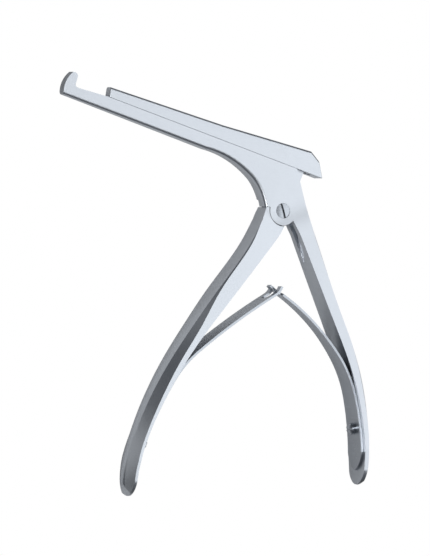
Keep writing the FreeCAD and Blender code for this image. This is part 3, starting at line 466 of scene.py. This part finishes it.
@dataclass
class Studio:
    """Pale floor, soft lamps and the parallel camera.

    Attributes:
        pivot: The pivot's place, in metres.
        lamps: One lamp that the near faces mirror, and one that lights the floor.
        sky: Linear colour of the even sky.
        floor_side: Side of the square floor, in metres.
        floor_drop: How far the floor lies under the part, in metres.
        floor_grey: Tone of the pale mat round the part.
        table_grey: Tone of the floor beyond the mat.
        mat_reach: Where the mat starts to darken and where it ends, in metres.
        tilt: Angle from the pivot's axis to the camera's, in degrees.
        head_height: Height of the pivot screw's head over the pivot, in millimetres.
        pivot_pixel: Where the middle of that head falls in the picture.
        frame_px: Width and height of the picture.
        view_height: Height of what the picture shows, in millimetres.
        camera_distance: From the camera to the part, in millimetres.
        clip_end: How far the camera sees, in metres.
    """

    pivot: Vector
    lamps: tuple[SoftLamp, ...] = (
        SoftLamp("near_face_lamp", place=(0.80, -0.03, 0.95), size=1.08, power=4.7,
                 colour=(0.95, 0.975, 1.0)),
        SoftLamp("floor_lamp", place=(-0.35, 0.05, 1.25), size=0.5, power=5.2),
    )
    sky: tuple[float, float, float] = (0.095, 0.10, 0.11)
    floor_side: float = 6.0
    floor_drop: float = 0.2 * MM
    floor_grey: float = 0.85
    table_grey: float = 0.12
    mat_reach: tuple[float, float] = (0.08, 0.115)
    tilt: float = 28.0
    head_height: float = 3.35
    pivot_pixel: tuple[float, float] = (283.4, 210.8)
    frame_px: tuple[int, int] = (430, 556)
    view_height: float = 197.16
    camera_distance: float = 1500.0
    clip_end: float = 20.0

    def axes(self) -> tuple[Vector, Vector, Vector]:
        """Work out how the camera is turned.

        Returns:
            Its right, up and forward directions.
        """
        tilt = math.radians(self.tilt)
        right = Vector((math.cos(tilt), 0.0, math.sin(tilt)))
        forward = Vector((math.sin(tilt), 0.0, -math.cos(tilt)))
        return right, Vector(Axis.UP.value), forward

    def add_camera(self) -> None:
        """Place the camera so that the pivot screw's head falls on its pixel."""
        right, up, forward = self.axes()
        scale = self.view_height / self.frame_px[1]
        across = (self.frame_px[0] / 2 - self.pivot_pixel[0]) * scale
        down = (self.frame_px[1] / 2 - self.pivot_pixel[1]) * scale
        head = Vector(Axis.ACROSS.value) * self.head_height
        target = self.pivot / MM + head + right * across - up * down
        camera = bpy.data.cameras.new("photo_camera")
        camera.type = "ORTHO"
        camera.sensor_fit = "VERTICAL"
        camera.ortho_scale = self.view_height * MM
        camera.clip_end = self.clip_end
        eye = bpy.data.objects.new("photo_camera", camera)
        rows = Matrix((right, up, -forward)).transposed()
        eye.matrix_world = (Matrix.Translation((target - forward * self.camera_distance) * MM)
                            @ rows.to_4x4())
        bpy.context.scene.collection.objects.link(eye)
        bpy.context.scene.camera = eye

    def floor_material(self) -> bpy.types.Material:
        """Make the floor's material.

        The camera sees it as white. The steel sees a pale mat round the part and a
        darker table beyond it.

        Returns:
            The finished material.
        """
        material = bpy.data.materials.new("pale_floor")
        shader = Shader(material)
        seen = shader.node("ShaderNodeLightPath")
        place = shader.value("ShaderNodeTexCoord", "Object")
        distance = shader.vector("LENGTH", place, output="Value")
        tone = shader.ranged(distance, *self.mat_reach, self.floor_grey, self.table_grey)
        matt = shader.node("ShaderNodeBsdfDiffuse", None, Color=shader.grey(tone))
        white = shader.node("ShaderNodeEmission", None, Color=(1.0, 1.0, 1.0, 1.0),
                            Strength=1.0)
        mixed = shader.node("ShaderNodeMixShader", None, in0=seen.outputs["Is Camera Ray"],
                            in1=matt.outputs[0], in2=white.outputs[0])
        shader.node("ShaderNodeOutputMaterial", None, Surface=mixed.outputs[0])
        return material

    def add_floor(self) -> None:
        """Lay the floor just under the part."""
        bpy.ops.object.select_all(action="DESELECT")
        bpy.ops.mesh.primitive_plane_add(size=self.floor_side,
                                         location=(0.0, 0.0, -self.floor_drop))
        floor = bpy.context.object
        floor.name = "floor"
        floor.data.materials.append(self.floor_material())

    def add_sky(self) -> None:
        """Set a dim even sky."""
        world = bpy.data.worlds.new("studio")
        bpy.context.scene.world = world
        world.use_nodes = True
        background = world.node_tree.nodes["Background"]
        background.inputs["Color"].default_value = (*self.sky, 1.0)
        background.inputs["Strength"].default_value = 1.0

    def build(self) -> None:
        """Set the whole stage."""
        self.add_floor()
        for lamp in self.lamps:
            lamp.hang()
        self.add_sky()
        self.add_camera()
        log.info("studio: floor, %d lamps, camera tilted %.0f degrees",
                 len(self.lamps), self.tilt)


@dataclass(frozen=True)
class EdgeBreak:
    """How the sharp edges of a piece are broken.

    Attributes:
        width: Width of the broken edge, in metres.
        angle: Edges that turn by more than this are broken, in degrees.
        segments: Facets across the broken edge.
    """

    width: float
    angle: float = 28.0
    segments: int = 3


@dataclass(frozen=True)
class GripEnd:
    """How a grip narrows to its tip.

    Attributes:
        inner: Where its inner face looks.
        breadth: Share of the width that is left at the tip.
        depth: Share of the thickness that is left at the tip.
        lower_levels: Heights of the loops of edges nearest the tip, in metres.
        straight: Height of the lower of the two loops that give the inner face's slope.
        upper_levels: Heights of the loops above that one.
        start: Height of the upper of those two, where the narrowing starts.
        loop_reach: How far a corner may lie from its loop's height, in metres.
    """

    inner: Facing
    breadth: float = 0.84
    depth: float = 0.55
    lower_levels: tuple[float, ...] = (0.4 * MM, 0.8 * MM, 1.2 * MM)
    straight: float = 2.0 * MM
    upper_levels: tuple[float, ...] = (3.0 * MM, 4.0 * MM, 5.5 * MM)
    start: float = 7.0 * MM
    loop_reach: float = 0.01 * MM

    @property
    def levels(self) -> tuple[float, ...]:
        """Heights of all loops, from the tip upwards."""
        return (*self.lower_levels, self.straight, *self.upper_levels, self.start)

    def left(self, tip_share: float, height: float) -> float:
        """Share of a size that is left at a height, with no crease at the start."""
        risen = 1 - (1 - height / self.start) ** 2
        return tip_share + (1 - tip_share) * risen


@dataclass
class SteelPiece:
    """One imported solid, copied and finished so that its edges catch the light.

    Attributes:
        node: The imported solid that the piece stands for.
        body: The body that it rides on.
        merge_distance: Corners closer than this become one, in metres.
        flat_angle: Edges that turn by less than this are dropped, in degrees.
        search_reach: How far off the solid's own surface is looked for, in metres.
        same_way: Least cosine between a face and the solid's surface under it.
        thing: The copy.
    """

    node: bpy.types.Object
    body: str
    merge_distance: float = 0.002 * MM
    flat_angle: float = 0.1
    search_reach: float = 0.01 * MM
    same_way: float = 0.9
    thing: bpy.types.Object = field(init=False)

    def __post_init__(self) -> None:
        """Copy the node's mesh into a new object at the origin."""
        self.thing = bpy.data.objects.new(f"{self.node.name}_finished", self.node.data.copy())
        bpy.context.scene.collection.objects.link(self.thing)

    def select(self) -> None:
        """Make the piece the only selected and the active object."""
        bpy.ops.object.select_all(action="DESELECT")
        bpy.context.view_layer.objects.active = self.thing
        self.thing.select_set(True)

    def merge(self) -> None:
        """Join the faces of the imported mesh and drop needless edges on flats."""
        self.select()
        bpy.ops.mesh.customdata_custom_splitnormals_clear()
        bpy.ops.object.mode_set(mode="EDIT")
        bpy.ops.mesh.select_all(action="SELECT")
        bpy.ops.mesh.remove_doubles(threshold=self.merge_distance)
        bpy.ops.mesh.normals_make_consistent(inside=False)
        bpy.ops.mesh.dissolve_limited(angle_limit=math.radians(self.flat_angle))
        bpy.ops.object.mode_set(mode="OBJECT")

    def lowest(self) -> float:
        """Height of the piece's lowest corner."""
        return min(vertex.co.y for vertex in self.thing.data.vertices)

    def cut_levels(self, end: GripEnd) -> None:
        """Cut loops of edges round a grip's last few millimetres.

        Args:
            end: Heights of the loops.
        """
        lowest = self.lowest()
        self.select()
        bpy.ops.object.mode_set(mode="EDIT")
        for level in end.levels:
            bpy.ops.mesh.select_all(action="SELECT")
            bpy.ops.mesh.bisect(plane_co=(0.0, lowest + level, 0.0),
                                plane_no=Axis.UP.value)
        bpy.ops.object.mode_set(mode="OBJECT")

    def inner_face(self, end: GripEnd, level: float) -> float:
        """Place along X of a grip's inner face.

        Args:
            end: The grip's end.
            level: Height of the loop of edges that is measured, in metres.

        Returns:
            X of the inner face at that loop, in metres.
        """
        height = self.lowest() + level
        loop = [vertex.co.x * end.inner.value for vertex in self.thing.data.vertices
                if abs(vertex.co.y - height) < end.loop_reach]
        return max(loop) * end.inner.value

    def narrow_end(self, end: GripEnd) -> None:
        """Let a grip's last few millimetres narrow to a rounder tip.

        Args:
            end: Where and by how much it narrows.
        """
        lowest = self.lowest()
        lower = self.inner_face(end, end.straight)
        slope = (self.inner_face(end, end.start) - lower) / (end.start - end.straight)
        tip = [vertex for vertex in self.thing.data.vertices
               if vertex.co.y < lowest + end.start]
        sides = [vertex.co.z for vertex in tip]
        middle = (min(sides) + max(sides)) / 2
        for vertex in tip:
            height = vertex.co.y - lowest
            inner = lower + slope * (height - end.straight)
            vertex.co.x = inner + (vertex.co.x - inner) * end.left(end.depth, height)
            vertex.co.z = middle + (vertex.co.z - middle) * end.left(end.breadth, height)

    def mark_own(self) -> None:
        """Mark every face as the solid's own."""
        own = [FaceKind.OWN.value] * len(self.thing.data.polygons)
        self.thing.data.polygons.foreach_set("material_index", own)

    def break_edges(self, edge: EdgeBreak) -> None:
        """Bevel the sharp edges and keep the true shading of the faces between them.

        Args:
            edge: Width, angle and facets of the bevel.
        """
        self.select()
        bpy.ops.object.shade_smooth()
        self.thing.data.materials.clear()
        for _ in FaceKind:
            self.thing.data.materials.append(None)
        self.mark_own()
        bevel = self.thing.modifiers.new("broken_edges", "BEVEL")
        bevel.width = edge.width
        bevel.segments = edge.segments
        bevel.limit_method = "ANGLE"
        bevel.angle_limit = math.radians(edge.angle)
        bevel.material = FaceKind.BROKEN.value
        bpy.ops.object.modifier_apply(modifier=bevel.name)
        self.carry_normals()
        self.mark_own()

    def faces_of(self, kind: FaceKind) -> list[bpy.types.MeshPolygon]:
        """The piece's faces of one kind."""
        return [face for face in self.thing.data.polygons
                if face.material_index == kind.value]

    def carry_normals(self) -> None:
        """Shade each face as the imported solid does, and blend across the broken edges."""
        solid = self.node.data
        tree = BVHTree.FromPolygons([vertex.co for vertex in solid.vertices],
                                    [tuple(face.vertices) for face in solid.polygons])
        mesh = self.thing.data
        normals = [corner.vector.copy() for corner in mesh.corner_normals]
        at_vertex: dict[int, Vector] = {}
        for face in self.faces_of(FaceKind.OWN):
            for loop in face.loop_indices:
                index = mesh.loops[loop].vertex_index
                normal = self.true_normal(tree, mesh.vertices[index].co, face.normal)
                normals[loop] = normal or normals[loop]
                at_vertex[index] = at_vertex.get(index, Vector()) + normals[loop]
        for face in self.faces_of(FaceKind.BROKEN):
            for loop in face.loop_indices:
                index = mesh.loops[loop].vertex_index
                if index in at_vertex:
                    normals[loop] = at_vertex[index].normalized()
        mesh.normals_split_custom_set(normals)

    def true_normal(self, tree: BVHTree, place: Vector, facing: Vector) -> Vector | None:
        """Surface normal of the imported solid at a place, on the side that faces a way.

        Args:
            tree: Search tree over the solid's faces.
            place: A point on the solid's surface.
            facing: Normal of the face that is being shaded.

        Returns:
            The solid's own normal, or None where the solid has no such surface there.
        """
        solid = self.node.data
        best = None
        best_match = self.same_way
        for near, _, index, _ in tree.find_nearest_range(place, self.search_reach):
            face = solid.polygons[index]
            places = [solid.vertices[i].co for i in face.vertices]
            shades = [solid.corner_normals[i].vector for i in face.loop_indices]
            normal = barycentric_transform(near, *places, *shades).normalized()
            if normal.dot(facing) > best_match:
                best, best_match = normal, normal.dot(facing)
        return best

    def bend_to(self, other: str, screw: str) -> None:
        """Let a leaf bend from its own body, at its screw, towards the other body.

        The weight reaches a half at the leaf's free end, where the two leaves hook.

        Args:
            other: The body that the free end leans on.
            screw: The node of the screw at the fixed end.
        """
        low, high = (Vector(corner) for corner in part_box(screw))
        root = (low + high) / 2
        tip = max((vertex.co for vertex in self.thing.data.vertices),
                  key=lambda place: (place - root).length)
        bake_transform(self.thing, self.body, other, root, root + 2 * (tip - root))

    def dress(self, finish: bpy.types.Material, slot: str) -> None:
        """Give the piece its finish and let it stand for its node.

        Args:
            finish: The steel that it is made of.
            slot: The record's material slot; not used.
        """
        self.thing.data.materials.clear()
        self.thing.data.materials.append(finish)
        if "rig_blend" not in self.thing:
            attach(self.thing, self.body)
        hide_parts(self.node.name)
        log.info("%s: %d faces, %s", self.thing.name, len(self.thing.data.polygons),
                 finish.name)


@dataclass
class SubAssembly(ABC):
    """The pieces that move together on one body.

    Attributes:
        body: The body's name.
        nodes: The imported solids, by node name.
        slots: The material slot of each solid, by node name.
        steel: The finishes.
        fine_edge: Broken edge of the springs, the screws and the pin.
    """

    body: ClassVar[str]
    nodes: dict[str, bpy.types.Object]
    slots: dict[str, str]
    steel: SteelFinishes
    fine_edge: EdgeBreak = EdgeBreak(0.08 * MM)

    @abstractmethod
    def build(self) -> None:
        """Finish every piece of the body."""

    def copied(self, name: str) -> SteelPiece:
        """Copy one solid and join its faces.

        Args:
            name: The solid's node.

        Returns:
            The copy.
        """
        piece = SteelPiece(self.nodes[name], self.body)
        piece.merge()
        return piece

    def add_grip(self, name: str, edge: EdgeBreak, end: GripEnd) -> None:
        """Finish a piece whose grip narrows to its tip.

        Args:
            name: The solid's node.
            edge: Its broken edge.
            end: How it narrows.
        """
        piece = self.copied(name)
        piece.cut_levels(end)
        piece.break_edges(edge)
        piece.narrow_end(end)
        piece.dress(self.steel.body, self.slots[name])

    def add_leaf(self, name: str, screw: str, towards: str) -> None:
        """Finish a leaf spring that bends between two bodies.

        Args:
            name: The solid's node.
            screw: The node of the screw at its fixed end.
            towards: The body that its free end leans on.
        """
        piece = self.copied(name)
        piece.break_edges(self.fine_edge)
        piece.bend_to(towards, screw)
        piece.dress(self.steel.spring, self.slots[name])

    def add_plain(self, name: str, edge: EdgeBreak, finish: bpy.types.Material) -> None:
        """Finish a piece that keeps the form of its solid.

        Args:
            name: The solid's node.
            edge: Its broken edge.
            finish: The steel that it is made of.
        """
        piece = self.copied(name)
        piece.break_edges(edge)
        piece.dress(finish, self.slots[name])


@dataclass
class FixedFrame(SubAssembly):
    """Footplate, lower shaft, box body and rear handle, with the pivot screw and a leaf.

    Attributes:
        edge: Broken edge of the frame.
        grip_end: Tip of the rear grip.
    """

    body: ClassVar[str] = "frame"
    edge: EdgeBreak = EdgeBreak(0.18 * MM)
    grip_end: GripEnd = GripEnd(Facing.FRONT)

    def build(self) -> None:
        """Finish the four pieces."""
        self.add_grip("fixed_frame", self.edge, self.grip_end)
        self.add_plain("pivot_screw", self.fine_edge, self.steel.slotted_screw)
        self.add_leaf("rear_leaf_spring", "rear_spring_screw", "moving_handle")
        self.add_plain("rear_spring_screw", self.fine_edge, self.steel.screw)


@dataclass
class Slider(SubAssembly):
    """The sliding shaft with its cutting end, and the pin that drives it.

    Attributes:
        edge: Broken edge of the shaft.
    """

    body: ClassVar[str] = "slider"
    edge: EdgeBreak = EdgeBreak(0.15 * MM)

    def build(self) -> None:
        """Finish the two pieces."""
        self.add_plain("sliding_shaft", self.edge, self.steel.body)
        self.add_plain("drive_pin", self.fine_edge, self.steel.screw)


@dataclass
class MovingHandle(SubAssembly):
    """The front handle with its leaf spring.

    Attributes:
        edge: Broken edge of the handle.
        grip_end: Tip of the front grip.
    """

    body: ClassVar[str] = "moving_handle"
    edge: EdgeBreak = EdgeBreak(0.18 * MM)
    grip_end: GripEnd = GripEnd(Facing.REAR)

    def build(self) -> None:
        """Finish the three pieces."""
        self.add_grip("front_handle", self.edge, self.grip_end)
        self.add_leaf("front_leaf_spring", "front_spring_screw", "frame")
        self.add_plain("front_spring_screw", self.fine_edge, self.steel.screw)


def pivot_place(record: dict) -> Vector:
    """Read the pivot's place from the record, in metres."""
    return next(Vector(joint["pos_m"]) for joint in record["behaviour"]["joints"]
                if joint["name"] == "handle_pivot")


def main() -> None:
    """Load the solids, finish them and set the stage."""
    logging.basicConfig(level=logging.INFO, format="%(name)s: %(message)s")
    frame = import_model()
    pivot = pivot_place(frame["record"])
    slots = {part["node"]: part["material_slot"] for part in frame["record"]["subparts"]}
    steel = SteelFinishes.make(pivot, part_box("pivot_screw")[1][2])
    for assembly in (FixedFrame, Slider, MovingHandle):
        assembly(frame["nodes"], slots, steel).build()
    Studio(pivot).build()
    bpy.context.scene.view_settings.view_transform = "Standard"


if __name__ == "__main__":
    main()
